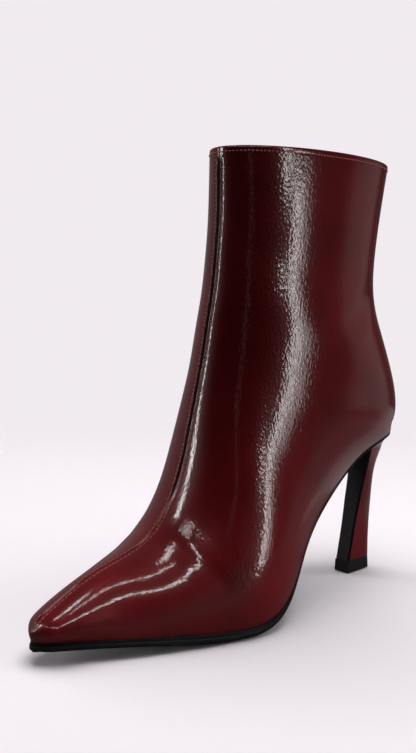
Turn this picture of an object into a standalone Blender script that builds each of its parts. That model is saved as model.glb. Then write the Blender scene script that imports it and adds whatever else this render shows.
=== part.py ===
# Heeled ankle boot, left foot: pointed toe, plain straight shaft with a concealed front zip, slim heel.
# Sizes are in millimetres in the boot's own layout: x from the heel seat to the toe, +y the outer side,
# z up from the floor. Every point is moved to the boot's middle and scaled to metres as its object is made.
import bmesh
import bpy
import numpy as np

# Driving sizes
WALL = 2.0              # thickness of the leather upper with its lining
GAP = 0.3               # clearance between pieces that touch
TOE_X = 233.8           # toe end of the feather line, where upper and sole meet
TIP_LEN = 7.0           # length over which the toe is rounded off
SEAT_X = -9.0           # back end of the feather line
SEAT_LEN = 42.0         # length over which the heel seat is rounded off
SEAT_POWER = 2.0        # roundness of the heel seat
CROWN = 1.0             # how far the sole's underside rises from its flat middle to its edge
RAND_SHARE = 0.36       # share of the sole's edge that is the rand above the groove
INSOLE_T = 2.0          # thickness of the insole
COVER_T = 0.9           # thickness of the heel breast's cover
LIFT_T = 7.3            # height of the top piece under the heel
SLOT = 1.8              # width of the zip's slot
TAPE_HALF = 4.0         # half the width of the zip's tape
TAPE_T = 0.8            # thickness of the zip's tape
COIL_HALF = 0.5         # half the width of the closed coil that stands in the slot
COIL_DEPTH = 0.7        # how far the coil lies below the leather's face
SLOT_START = 5.55       # station where the slot ends on the instep
SLOT_END = 12.85        # station where the slot stops below the collar's edge
END_ROOM = 0.1          # share of a grid step left free at each end of the slot
COLUMNS = 17            # columns of the grid on each side of the upper
FINENESS = 8            # steps of the grid along each stretch of the upper
EDGE_BLEND = 8          # how quickly a section settles from the smooth body to its true lower edge
CORNER_ROW = 9          # section whose base is the back of the heel seat; later sections are closed rings

# Bottom of the last at each x: height of the feather line, outer and inner edge
OUTLINE = np.array([
    # x, feather_z, outer, inner
    (-9.0, 85.5, 25.0, -25.0),
    (14.0, 84.0, 25.0, -25.5),
    (38.0, 75.8, 23.4, -24.5),
    (62.0, 57.0, 22.8, -21.5),
    (85.0, 36.8, 27.5, -19.0),
    (108.0, 15.6, 36.8, -23.0),
    (130.0, 6.4, 39.8, -31.0),
    (150.0, 5.6, 35.0, -36.5),
    (172.0, 7.4, 27.8, -34.5),
    (200.0, 9.8, 16.0, -25.0),
    (233.8, 10.6, -2.0, -10.5),
])

# Sections of the upper from the toe to the collar. Each runs from its base, on the feather line or on the
# shaft's back, to its ridge at the front. Half-widths are the widest. A positive egg is wider at the base.
SECTIONS = np.array([
    # base_x, base_z, ridge_x, ridge_z, ridge_y, outer_half, inner_half, egg
    (233.8, 10.6, 234.6, 15.5, -6.0, 6.6, 6.6, 0.05),
    (228.6, 10.7, 231.2, 19.6, -6.0, 10.0, 10.0, 0.05),
    (220.0, 10.5, 223.6, 24.6, -6.0, 14.2, 14.2, 0.05),
    (200.0, 9.8, 203.0, 34.5, -6.0, 20.8, 20.8, 0.09),
    (176.0, 7.7, 182.0, 40.8, -6.0, 31.5, 31.5, 0.11),
    (148.0, 5.5, 163.5, 51.0, -5.0, 39.6, 39.2, 0.07),
    (112.0, 13.0, 149.1, 75.6, -4.0, 39.8, 37.8, -0.05),
    (70.0, 50.1, 141.3, 104.9, -3.0, 36.6, 35.0, -0.10),
    (22.0, 82.2, 135.2, 132.3, -2.0, 36.6, 36.2, -0.14),
    (-9.0, 85.5, 132.0, 153.0, -1.0, 36.0, 36.0, -0.15),
    (-12.0, 106.0, 129.2, 171.0, 0.0, 35.2, 35.2, -0.13),
    (2.5, 140.0, 126.8, 192.0, 0.0, 32.6, 32.6, -0.09),
    (11.5, 175.0, 125.2, 212.0, 0.0, 31.8, 31.8, -0.05),
    (0.6, 238.0, 125.2, 240.5, 0.0, 32.1, 32.1, 0.0),
])

# Outsole at each x: thickness of its edge, how far the edge stands out past the upper
SOLE = np.array([
    # x, edge_t, stand_out
    (-9.0, 1.6, -0.2),
    (30.0, 1.6, -0.2),
    (62.0, 1.7, -0.2),
    (95.0, 2.2, 0.1),
    (118.0, 3.4, 0.9),
    (150.0, 4.4, 1.2),
    (185.0, 3.9, 1.1),
    (233.8, 3.3, 0.9),
])

# Heel at each height from the top piece up: front face x, depth, half-width, squareness of the back
HEEL = np.array([
    # z, front_x, depth, half_width, square
    (7.6, 24.9, 19.4, 5.0, 5.0),
    (20.0, 21.9, 16.8, 5.0, 4.6),
    (32.0, 19.0, 14.8, 5.2, 4.2),
    (44.0, 16.0, 12.9, 5.8, 3.8),
    (56.0, 12.7, 11.1, 6.5, 3.3),
    (66.0, 11.4, 12.0, 8.4, 2.9),
    (74.0, 13.6, 17.1, 12.0, 2.5),
])
HEEL_Y = 1.2            # the heel's tip stands this far to the outer side
SEAT_FRONT_X = 16.0     # front edge of the heel where it meets the sole
SEAT_INSET = 0.8        # how far the heel's top edge lies inside the heel seat


def spline(knots, values, at):
    """Natural cubic spline through each column of values, read at the given places."""
    k = np.asarray(knots, float)
    v = np.asarray(values, float)
    h = np.diff(k)
    n = len(k)
    matrix = np.eye(n)
    right = np.zeros_like(v)
    for i in range(1, n - 1):
        matrix[i, i - 1:i + 2] = h[i - 1], 2 * (h[i - 1] + h[i]), h[i]
        right[i] = 6 * ((v[i + 1] - v[i]) / h[i] - (v[i] - v[i - 1]) / h[i - 1])
    c = np.linalg.solve(matrix, right)
    a = np.clip(np.asarray(at, float), k[0], k[-1])
    i = np.clip(np.searchsorted(k, a, side="right") - 1, 0, n - 2)
    t = (a - k[i])[:, None]
    u = (k[i + 1] - a)[:, None]
    g = h[i][:, None]
    bend = (c[i] * u**3 + c[i + 1] * t**3) / (6 * g)
    return bend + (v[i] / g - c[i] * g / 6) * u + (v[i + 1] / g - c[i + 1] * g / 6) * t


def outline(x):
    """Height of the feather line, middle y and half-width of the last's bottom at each x."""
    x = np.clip(np.asarray(x, float), SEAT_X, TOE_X)
    feather_z, outer, inner = spline(OUTLINE[:, 0], OUTLINE[:, 1:], x).T
    back = np.clip((SEAT_X + SEAT_LEN - x) / SEAT_LEN, 0, 1)
    front = np.clip((x - TOE_X + TIP_LEN) / TIP_LEN, 0, 1)
    ends = np.sqrt((1 - back**SEAT_POWER) * (1 - front**2))
    return feather_z, (outer + inner) / 2, (outer - inner) / 2 * ends


def section_rows(s):
    """Section columns at each station, the feather's middle, and each side's half-width and start angle."""
    columns = spline(np.arange(len(SECTIONS)), SECTIONS, s)
    base_x, base_z, _, _, _, outer, inner, egg = columns.T
    foot = s < CORNER_ROW
    feather_z, mid, half = outline(base_x)
    columns[:, 1] = np.where(foot, feather_z, base_z)
    half = np.where(foot, half, 0.0)
    mid = np.where(foot, mid, 0.0)
    front = np.clip((base_x - TOE_X + TIP_LEN) / TIP_LEN, 0, 1)
    egg = np.where(np.abs(egg) < 1e-6, 1e-6, egg)
    top = np.arccos((np.sqrt(1 + 8 * egg**2) - 1) / (4 * egg))
    peak = np.sin(top) * (1 + egg * np.cos(top))
    wides = []
    starts = []
    for widest in (outer, inner):
        wide = np.maximum(widest * np.sqrt(1 - front**2), half * 1.01 + 1e-9)
        low = np.zeros_like(s)
        high = top.copy()
        for _ in range(40):
            middle = (low + high) / 2
            under = np.sin(middle) * (1 + egg * np.cos(middle)) / peak < half / wide
            low = np.where(under, middle, low)
            high = np.where(under, high, middle)
        wides.append(wide / peak)
        starts.append(np.where(half > 1e-6, low, 0.0))
    return columns, mid, wides, starts


def eased(s, values_at):
    """Values along the stations, with the turn at the heel seat's back spread over the sections around it."""
    reach = np.linspace(-1.2, 1.2, 49)
    weight = np.exp(-0.5 * (reach / 0.45)**2)
    weight /= weight.sum()
    near = np.clip(s[:, None] + reach[None, :], 0, len(SECTIONS) - 1)
    spread = (values_at(near.ravel()).reshape(near.shape) * weight).sum(axis=1)
    share = np.cos(np.clip(np.abs(s - CORNER_ROW) / 2.2, 0, 1) * np.pi / 2)**2
    own = values_at(s)
    return own + share * (spread - own)


def upper_surface(stations, u):
    """Outside of the upper. Row i of u goes across section i: 0 outer base, 1 ridge, 2 inner base."""
    s = np.asarray(stations, float)
    columns, mid, wides, starts = section_rows(s)
    base_x, base_z, ridge_x, ridge_z, ridge_y, _, _, egg = (column[:, None] for column in columns.T)
    body_z = eased(s, lambda at: section_rows(at)[0][:, 1])[:, None]
    on_outer = u <= 1
    t = np.where(on_outer, u, 2 - u)
    grid = np.zeros(u.shape + (3,))
    for k, side in enumerate((1, -1)):
        start = starts[k][:, None]
        body_cos = eased(s, lambda at: np.cos(section_rows(at)[3][k]))[:, None]
        angle = start + (np.pi - start) * t
        rise = (body_cos - np.cos(angle)) / (body_cos + 1)
        first = (body_cos - np.cos(start)) / (body_cos + 1)
        settle = ((1 + np.cos(angle)) / (1 + np.cos(start)))**EDGE_BLEND
        x = base_x + (ridge_x - base_x) * (rise - first * settle)
        z = body_z + (ridge_z - body_z) * rise
        z = z + (base_z - body_z - (ridge_z - body_z) * first) * settle
        share = (np.cos(start) - np.cos(angle)) / (np.cos(start) + 1)
        across = side * wides[k][:, None] * np.sin(angle) * (1 + egg * np.cos(angle))
        y = mid[:, None] + (ridge_y - mid[:, None]) * share + across
        chosen = on_outer if side > 0 else ~on_outer
        grid[chosen] = np.stack([x, y, z], axis=-1)[chosen]
    return grid


def ridge_step(stations):
    """How much u one millimetre across the ridge takes at each station."""
    s = np.asarray(stations, float)
    near = upper_surface(s, np.tile([0.995, 1.0], (len(s), 1)))
    return 0.005 / np.maximum(np.linalg.norm(near[:, 0] - near[:, 1], axis=1), 1e-4)


def upper_stations():
    """Stations from toe to collar, closer together at the toe's tip and at the back of the heel seat."""
    toe = 3 * np.linspace(0, 1, FINENESS + 2)**2
    foot = np.linspace(3, CORNER_ROW - 1, 3 * FINENESS)[1:]
    seat = CORNER_ROW - np.linspace(1, 0, FINENESS + 1)[1:]**2
    shaft = np.linspace(CORNER_ROW, len(SECTIONS) - 1, 2 * FINENESS + 1)[1:]
    stations = np.concatenate([toe, foot, seat, shaft])
    for end in (SLOT_START, SLOT_END):
        stations[np.argmin(np.abs(stations - end))] = end
    return stations


def upper_columns(stations, count):
    """Places across each section, with two columns along the edges of the zip's slot."""
    slot = np.minimum(SLOT / 2 * ridge_step(stations), 0.3)[:, None]
    share = np.linspace(0, 1, count)[None, :]
    outer = share * (1 - slot)
    return np.concatenate([outer, 2 - outer[:, ::-1]], axis=1)


def grid_normals(grid, stations):
    """Outward normals of the upper's grid, shared where the grid meets itself at the toe and up the back."""
    rows, cols = grid.shape[:2]
    ids = np.arange(rows * cols).reshape(rows, cols)
    ids[0] = np.minimum(ids[0], ids[0, ::-1])
    ring = stations >= CORNER_ROW
    ids[ring, -1] = ids[ring, 0]
    a = grid[:-1, :-1]
    b = grid[1:, :-1]
    c = grid[1:, 1:]
    d = grid[:-1, 1:]
    face = np.cross(c - a, d - b)
    total = np.zeros((rows * cols, 3))
    for corner in (ids[:-1, :-1], ids[1:, :-1], ids[1:, 1:], ids[:-1, 1:]):
        np.add.at(total, corner.ravel(), face.reshape(-1, 3))
    normal = total[ids]
    normal /= np.maximum(np.linalg.norm(normal, axis=2, keepdims=True), 1e-9)
    centre = np.array([120.0, 0.0, 110.0])
    widest = np.argmax(grid[..., 1])
    outward = (grid - centre).reshape(-1, 3)[widest] @ normal.reshape(-1, 3)[widest]
    return normal if outward > 0 else -normal


def rungs(count, shift):
    """Faces across one ring, between each point and the one opposite it."""
    faces = []
    for i in range(count // 2):
        corners = tuple(dict.fromkeys((i, i + 1, (shift - i - 1) % count, (shift - i) % count)))
        if len(corners) > 2:
            faces.append(corners)
    return faces


def stacked_rings(rings, caps):
    """Points and faces of a solid through rings of equal length, closed at both ends by the faces in caps."""
    levels, count = len(rings), len(rings[0])
    points = np.concatenate(rings)
    faces = []
    for level in range(levels - 1):
        for i in range(count):
            j = (i + 1) % count
            low = level * count
            faces.append((low + i, low + j, low + count + j, low + count + i))
    for start in (0, (levels - 1) * count):
        faces.extend(tuple(start + k for k in cap) for cap in caps)
    return points, faces


def plan_x():
    """Places along the boot from heel to toe, the same ones as along the upper's lower edge."""
    stations = upper_stations()
    base_x = spline(np.arange(len(SECTIONS)), SECTIONS, stations[stations <= CORNER_ROW])[:, 0]
    return base_x[::-1]


def plan_ring(x, offset):
    """Closed outline of the last's bottom moved outward by the offset: heel, outer side, toe, inner side."""
    _, mid, half = outline(x)
    outer = np.stack([x, mid + half], axis=1)
    inner = np.stack([x, mid - half], axis=1)[1:-1][::-1]
    ring = np.concatenate([outer, inner])
    along = np.roll(ring, -1, axis=0) - np.roll(ring, 1, axis=0)
    normal = np.stack([-along[:, 1], along[:, 0]], axis=1)
    normal /= np.linalg.norm(normal, axis=1, keepdims=True)
    moved = np.concatenate([offset, offset[1:-1][::-1]])[:, None]
    return ring + normal * moved


def sole_heights(x):
    """Heights of the outsole at x: its top, the bottom of its edge, and the middle of its underside."""
    feather_z, _, _ = outline(x)
    edge_t = spline(SOLE[:, 0], SOLE[:, 1:], np.clip(x, SEAT_X, TOE_X))[:, 0]
    top = feather_z - GAP
    crown = CROWN * np.clip((np.asarray(x) - 90.0) / 40.0, 0, 1)
    middle = np.maximum(top - edge_t - crown, 0.0)
    return top, middle + crown, middle


def ring_points(ring, height):
    """Ring of the outline with its heights."""
    return np.column_stack([ring, height])


def upper():
    stations = upper_stations()
    u = upper_columns(stations, COLUMNS)
    outside = upper_surface(stations, u)
    normal = grid_normals(outside, stations)
    wall = WALL * np.clip(0.7 + 0.3 * stations, 0, 1)
    inside = outside - wall[:, None, None] * normal
    foot = stations < CORNER_ROW
    for edge in (0, -1):
        flat = inside[foot, edge]
        flat[:, 2] = outline(flat[:, 0])[0]
        inside[foot, edge] = flat
    rows, cols = outside.shape[:2]
    keep = np.ones((rows - 1, cols - 1), bool)
    slot_rows = (stations[:-1] >= SLOT_START - 1e-6) & (stations[1:] <= SLOT_END + 1e-6)
    keep[slot_rows, cols // 2 - 1] = False
    points = np.concatenate([outside.reshape(-1, 3), inside.reshape(-1, 3)])
    far = rows * cols
    ids = np.arange(far).reshape(rows, cols)
    faces = []
    edge_use = {}
    for r in range(rows - 1):
        for c in range(cols - 1):
            if not keep[r, c]:
                continue
            loop = (ids[r, c], ids[r, c + 1], ids[r + 1, c + 1], ids[r + 1, c])
            faces.append(loop)
            faces.append(tuple(far + k for k in loop[::-1]))
            for k in range(4):
                pair = (loop[k], loop[(k + 1) % 4])
                edge_use[pair] = edge_use.get(pair, 0) + 1
    shaft_rows = [r for r in range(rows - 1) if stations[r] >= CORNER_ROW]
    back_line = {(ids[r, c], ids[r + 1, c]) for r in shaft_rows for c in (0, cols - 1)}
    nose = {(ids[0, c], ids[0, c + 1]) for c in range(cols - 1)}
    closed = back_line | nose
    for a, b in edge_use:
        if (b, a) in edge_use or (a, b) in closed or (b, a) in closed:
            continue
        faces.append((b, a, far + a, far + b))
    return points, faces


def outsole():
    x = plan_x()
    stand_out = spline(SOLE[:, 0], SOLE[:, 1:], x)[:, 1]
    half = outline(x)[2]
    rand_out = np.minimum(stand_out, 0.5 * stand_out)
    below_groove = 1 - RAND_SHARE
    rings = []
    for offset, edge_share, crown_share in (
        (rand_out, 1.0, 0.0),
        (rand_out, below_groove + 0.1, 0.0),
        (rand_out - 0.25, below_groove, 0.0),
        (stand_out, below_groove - 0.1, 0.0),
        (stand_out, 0.12, 0.0),
        (stand_out - 0.4, 0.0, 0.0),
        (stand_out - 4.0, 0.0, 0.65),
        (stand_out - 9.0, 0.0, 1.0),
    ):
        ring = plan_ring(x, np.maximum(offset, -0.6 * half))
        top, edge_bottom, middle = sole_heights(ring[:, 0])
        height = edge_bottom + edge_share * (top - edge_bottom) + crown_share * (middle - edge_bottom)
        rings.append(ring_points(ring, height))
    return stacked_rings(rings, rungs(len(rings[0]), 0))


def insole():
    x = plan_x()
    _, mid, half = outline(x)
    lean = np.sqrt(1 + np.gradient(half, x)**2)
    inset = WALL + 3 * GAP
    edge = 0.6
    kept = half - (inset + edge) * lean > 0.5
    place = np.concatenate([x[kept], x[kept][::-1]])
    rings = []
    for inward, lift in ((inset, GAP / 2), (inset, INSOLE_T - 0.5), (inset + edge, INSOLE_T)):
        reach = half - inward * lean
        side = np.concatenate([(mid + reach)[kept], (mid - reach)[kept][::-1]])
        rings.append(np.column_stack([place, side, outline(place)[0] + lift]))
    return stacked_rings(rings, rungs(len(place), len(place) - 1))


def heel_ring(front_x, depth, half_width, square, middle_y, count):
    """Flat-fronted ring of the heel: starts and ends at the two corners of its front face."""
    angle = np.linspace(0, np.pi, count)
    wide = np.sign(np.cos(angle)) * np.abs(np.cos(angle))**(2 / square)
    deep = np.abs(np.sin(angle))**(2 / square)
    return np.stack([front_x - depth * deep, middle_y + half_width * wide], axis=1)


def heel_top_ring(count):
    """Top of the heel, just inside the heel seat's own outline."""
    angle = np.linspace(0, np.pi, count)
    x = SEAT_FRONT_X - (SEAT_FRONT_X - SEAT_X - SEAT_INSET) * np.sin(angle)
    _, mid, half = outline(x)
    return np.stack([x, mid + np.sign(np.cos(angle)) * np.maximum(half - SEAT_INSET, 0)], axis=1)


def heel_level(z):
    """Front face x, depth, half-width, squareness and middle y of the heel at each height."""
    rows = spline(HEEL[:, 0], HEEL[:, 1:], z)
    middle_y = HEEL_Y * np.clip(1 - (z - HEEL[0, 0]) / (HEEL[-1, 0] - HEEL[0, 0]), 0, 1)
    return np.column_stack([rows, middle_y])


def heel():
    count = 19
    levels = np.linspace(HEEL[0, 0], HEEL[-1, 0], 14)
    rings = []
    for z, row in zip(levels, heel_level(levels)):
        rings.append(ring_points(heel_ring(*row, count), np.full(count, z)))
    top = heel_top_ring(count)
    seat_z = sole_heights(top[:, 0])[2] - GAP
    top = ring_points(top, seat_z)
    for share in (0.45, 0.8):
        rings.append(rings[13] + (top - rings[13]) * np.array([share**1.6, share**1.6, share]))
    rings.append(top)
    return stacked_rings(rings, rungs(count, count - 1))


def heel_breast_cover():
    levels = np.linspace(HEEL[0, 0], HEEL[-1, 0], 12)
    rings = []
    for z, (front_x, _, half_width, _, middle_y) in zip(levels, heel_level(levels)):
        near = front_x + GAP
        reach = half_width - 0.4
        rings.append(np.array([
            (near, middle_y - reach, z),
            (near, middle_y + reach, z),
            (near + COVER_T, middle_y + reach - 0.3, z),
            (near + COVER_T, middle_y - reach + 0.3, z),
        ]))
    return stacked_rings(rings, [(0, 1, 2, 3)])


def top_piece():
    count = 19
    front_x, depth, half_width, square, middle_y = heel_level(HEEL[:1, 0])[0]
    rings = []
    for z, grow in ((LIFT_T, 0.0), (4.0, 0.15), (0.6, 0.3), (0.0, -0.2)):
        ring = heel_ring(front_x + GAP + COVER_T + grow, depth + GAP + COVER_T + 2 * grow,
                         half_width + grow, square, middle_y, count)
        rings.append(ring_points(ring, np.full(count, z)))
    return stacked_rings(rings, rungs(count, count - 1))


def front_zip():
    """Tape behind the slot with its closed coil standing in it."""
    stations = upper_stations()
    u = upper_columns(stations, COLUMNS)
    outside = upper_surface(stations, u)
    normal = grid_normals(outside, stations)
    first = np.argmin(np.abs(stations - SLOT_START))
    last = np.argmin(np.abs(stations - SLOT_END))
    row = np.arange(first, last + 1).astype(float)
    row[0] += END_ROOM
    row[-1] -= END_ROOM
    low = np.floor(row).astype(int)
    part = (row - low)[:, None, None]
    left = COLUMNS - 1
    share = TAPE_HALF / np.linalg.norm(outside[:, left] - outside[:, left - 1], axis=1)[:, None]
    inner_end = 0.5 + COIL_HALF / SLOT
    rings = []
    columns = []
    for grid in (outside, normal):
        edge_left = grid[:, left] + share * (grid[:, left - 1] - grid[:, left])
        edge_right = grid[:, left + 1] + share * (grid[:, left + 2] - grid[:, left + 1])
        span = grid[:, left + 1] - grid[:, left]
        coil_left = grid[:, left] + (1 - inner_end) * span
        coil_right = grid[:, left] + inner_end * span
        across = np.stack([edge_left, coil_left, coil_right, edge_right], axis=1)
        columns.append(across[low] * (1 - part) + across[low + 1] * part)
    tape_top = WALL + GAP
    tape_back = tape_top + TAPE_T
    for place, n in zip(*columns):
        depths = ((0, tape_top), (1, tape_top), (1, COIL_DEPTH), (2, COIL_DEPTH), (2, tape_top),
                  (3, tape_top), (3, tape_back), (2, tape_back), (1, tape_back), (0, tape_back))
        rings.append(np.array([place[k] - n[k] * depth for k, depth in depths]))
    return stacked_rings(rings, [(0, 1, 8, 9), (1, 4, 7, 8), (1, 2, 3, 4), (4, 5, 6, 7)])


def principled(name, colour, roughness):
    """Plain Principled material."""
    made = bpy.data.materials.new(name)
    made.use_nodes = True
    shader = made.node_tree.nodes["Principled BSDF"]
    shader.inputs["Base Color"].default_value = (*colour, 1.0)
    shader.inputs["Roughness"].default_value = roughness
    shader.inputs["Metallic"].default_value = 0.0
    return made


def add_solid(name, solid, colour, roughness, middle):
    """Object from points in millimetres, moved to the boot's middle and scaled to metres."""
    points, faces = solid
    mesh = bpy.data.meshes.new(name)
    mesh.from_pydata(((points - middle) * 0.001).tolist(), [], faces)
    shape = bmesh.new()
    shape.from_mesh(mesh)
    bmesh.ops.remove_doubles(shape, verts=shape.verts, dist=0.000005)
    bmesh.ops.triangulate(shape, faces=shape.faces, quad_method="BEAUTY", ngon_method="BEAUTY")
    bmesh.ops.recalc_face_normals(shape, faces=shape.faces)
    shape.to_mesh(mesh)
    shape.free()
    mesh.shade_smooth()
    mesh.set_sharp_from_angle(angle=0.7)
    mesh.materials.append(principled(name, colour, roughness))
    made = bpy.data.objects.new(name, mesh)
    bpy.context.scene.collection.objects.link(made)
    return made


def main():
    for old in list(bpy.data.objects):
        bpy.data.objects.remove(old, do_unlink=True)
    burgundy = (0.085, 0.008, 0.012)
    black = (0.008, 0.008, 0.009)
    solids = {
        "upper": (upper(), burgundy, 0.2),
        "outsole": (outsole(), black, 0.35),
        "insole": (insole(), (0.05, 0.04, 0.04), 0.6),
        "heel": (heel(), burgundy, 0.2),
        "heel_breast_cover": (heel_breast_cover(), black, 0.3),
        "top_piece": (top_piece(), black, 0.4),
        "front_zip": (front_zip(), black, 0.6),
    }
    every = np.concatenate([solid[0] for solid, _, _ in solids.values()])
    middle = (every.min(axis=0) + every.max(axis=0)) / 2
    middle[2] = 0.0
    for name, (solid, colour, roughness) in solids.items():
        add_solid(name, solid, colour, roughness, middle)


main()
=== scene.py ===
# Looks of the heeled ankle boot: fine leather upper, stitched front seam with its concealed zip, sole and
# heel, on a pale studio sweep. Shapes repeat the part's own sections in millimetres, moved to its middle
# and scaled to metres.
import math

import bmesh
import bpy
import numpy as np
from mathutils import Matrix, Vector


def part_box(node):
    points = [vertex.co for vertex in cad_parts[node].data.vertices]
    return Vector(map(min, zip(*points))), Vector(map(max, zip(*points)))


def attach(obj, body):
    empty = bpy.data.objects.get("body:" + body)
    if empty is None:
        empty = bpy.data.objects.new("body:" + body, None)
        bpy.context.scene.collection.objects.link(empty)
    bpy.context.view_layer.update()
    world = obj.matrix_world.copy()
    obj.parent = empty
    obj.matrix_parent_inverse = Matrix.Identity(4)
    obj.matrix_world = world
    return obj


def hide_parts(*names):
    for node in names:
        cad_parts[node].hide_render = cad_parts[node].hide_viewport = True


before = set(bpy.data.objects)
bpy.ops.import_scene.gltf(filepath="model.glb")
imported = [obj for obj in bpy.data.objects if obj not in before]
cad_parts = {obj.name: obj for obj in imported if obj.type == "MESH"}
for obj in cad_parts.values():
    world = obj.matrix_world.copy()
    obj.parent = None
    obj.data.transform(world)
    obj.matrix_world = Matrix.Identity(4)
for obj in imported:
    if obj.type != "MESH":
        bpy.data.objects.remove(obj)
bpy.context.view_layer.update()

# Sizes and places in the boot's own layout, in millimetres
WALL = 2.0            # thickness of the upper's wall
GAP = 0.3             # gap between neighbouring pieces
TOE_X = 233.8         # front end of the last's bottom
TIP_LEN = 7.0         # length of its rounded toe tip
SEAT_X = -9.0         # back end of the last's bottom
SEAT_LEN = 42.0       # length of its rounded back
CROWN = 1.0           # how far the forepart's middle hangs below the sole's edge
CROWN_START = 90.0    # where the crown starts
CROWN_LEN = 40.0      # length over which the crown grows
INSOLE_T = 2.0        # thickness of the insole
COVER_T = 0.9         # thickness of the heel's breast cover
LIFT_T = 7.3          # thickness of the top piece
RIM_STITCH = 1.9      # from the collar's edge to its stitching
ZIP_STITCH = 2.3      # from the zip's middle to its stitching
SEAM_STITCH = 1.7     # from the vamp's seam to its stitching
SEAM_STEPS = (0.0, 0.35, 0.6, 0.85, 1.1, 1.45, 1.9, 2.4, 2.9, 3.5, 4.3)   # columns beside the front seam
SLOT_HALF = 0.78      # half width of the zip's slot
SLOT_DEPTH = 1.25     # depth of the zip's slot
FAR = 99.0            # farther from the seam than its relief reaches
WELD = 0.004          # points closer than this become one
FINE_WELD = 0.0001    # the same for stitches and teeth

# Shares, powers and places counted in sections
SEAT_POWER = 2.0      # how round the back of the last's bottom is
RAND_SHARE = 0.36     # share of the sole edge's height that the rand takes
EDGE_BLEND = 8        # how close to the feather line the sections settle on it
CORNER_ROW = 9        # section at the back of the heel seat, from which sections are closed rings
SLOT_START = 5.55     # section where the zip's slot starts
SLOT_END = 12.85      # section where it ends
SLOT_RUN_IN = 0.25    # sections over which the slot deepens from its start
SLOT_RUN_OUT = 0.03   # sections over which it closes before its end
EASE_REACH = 1.2      # sections to each side that the easing averages
EASE_WIDTH = 0.45     # width of its weights, in sections
EASE_SPAN = 2.2       # sections to each side that it changes
RIM_STEP = 0.1        # small step below the collar, in sections
SEAM_SHARE = 0.005    # small step across a section, to measure beside the front seam
SEAM_MOST = 0.06      # most of a section that one millimetre beside the seam may take

# Bottom of the last at each x
OUTLINE = np.array([
    # x, feather_z, outer, inner
    (-9.0, 85.5, 25.0, -25.0),
    (14.0, 84.0, 25.0, -25.5),
    (38.0, 75.8, 23.4, -24.5),
    (62.0, 57.0, 22.8, -21.5),
    (85.0, 36.8, 27.5, -19.0),
    (108.0, 15.6, 36.8, -23.0),
    (130.0, 6.4, 39.8, -31.0),
    (150.0, 5.6, 35.0, -36.5),
    (172.0, 7.4, 27.8, -34.5),
    (200.0, 9.8, 16.0, -25.0),
    (233.8, 10.6, -2.0, -10.5),
])

# Sections of the upper from the toe to the collar
SECTIONS = np.array([
    # base_x, base_z, ridge_x, ridge_z, ridge_y, outer_half, inner_half, egg
    (233.8, 10.6, 234.6, 15.5, -6.0, 6.6, 6.6, 0.05),
    (228.6, 10.7, 231.2, 19.6, -6.0, 10.0, 10.0, 0.05),
    (220.0, 10.5, 223.6, 24.6, -6.0, 14.2, 14.2, 0.05),
    (200.0, 9.8, 203.0, 34.5, -6.0, 20.8, 20.8, 0.09),
    (176.0, 7.7, 182.0, 40.8, -6.0, 31.5, 31.5, 0.11),
    (148.0, 5.5, 163.5, 51.0, -5.0, 39.6, 39.2, 0.07),
    (112.0, 13.0, 149.1, 75.6, -4.0, 39.8, 37.8, -0.05),
    (70.0, 50.1, 141.3, 104.9, -3.0, 36.6, 35.0, -0.10),
    (22.0, 82.2, 135.2, 132.3, -2.0, 36.6, 36.2, -0.14),
    (-9.0, 85.5, 132.0, 153.0, -1.0, 36.0, 36.0, -0.15),
    (-12.0, 106.0, 129.2, 171.0, 0.0, 35.2, 35.2, -0.13),
    (2.5, 140.0, 126.8, 192.0, 0.0, 32.6, 32.6, -0.09),
    (11.5, 175.0, 125.2, 212.0, 0.0, 31.8, 31.8, -0.05),
    (0.6, 238.0, 125.2, 240.5, 0.0, 32.1, 32.1, 0.0),
])
COLLAR = len(SECTIONS) - 1

# Outsole edge at each x
SOLE = np.array([
    # x, edge_t, stand_out
    (-9.0, 1.6, -0.2),
    (30.0, 1.6, -0.2),
    (62.0, 1.7, -0.2),
    (95.0, 2.2, 0.1),
    (118.0, 3.4, 0.9),
    (150.0, 4.4, 1.2),
    (185.0, 3.9, 1.1),
    (233.8, 3.3, 0.9),
])

# Heel at each height
HEEL = np.array([
    # z, front_x, depth, half_width, square
    (7.6, 24.9, 19.4, 5.0, 5.0),
    (20.0, 21.9, 16.8, 5.0, 4.6),
    (32.0, 19.0, 14.8, 5.2, 4.2),
    (44.0, 16.0, 12.9, 5.8, 3.8),
    (56.0, 12.7, 11.1, 6.5, 3.3),
    (66.0, 11.4, 12.0, 8.4, 2.9),
    (74.0, 13.6, 17.1, 12.0, 2.5),
])
HEEL_Y = 1.2
SEAT_FRONT_X = 16.0
SEAT_INSET = 0.8
LIFT_FLARE = 0.3
HEEL_POINTS = 61      # points round the heel and its top piece
NECK_POWER = 1.6      # how late the heel's neck widens to the seat
COVER_EDGE = 0.4      # how far the breast cover stays in from the heel's sides, and its rounded edge's width
HEEL_SHARP = 0.9      # radians, past which an edge of the heel stays sharp in the shading
EDGE_SHARP = 0.6      # the same for the breast cover and the top piece

# The boot's middle in its own layout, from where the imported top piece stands
lift_low, lift_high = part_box("top_piece")
lift_front = HEEL[0, 1] + GAP + COVER_T + LIFT_FLARE
MIDDLE = np.array([lift_front - 1000 * lift_high[0], HEEL_Y - 500 * (lift_low[1] + lift_high[1]), 0.0])

# Camera that matches the photo, in the boot's own layout
CAMERA_AT = np.array([435.0, 342.4, 174.5])
CAMERA_YAW = math.radians(41.47)
CAMERA_PITCH = math.radians(6.10)
FOCAL_PX = 900.0
PHOTO_HEIGHT = 753
SENSOR_MM = 36.0


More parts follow.
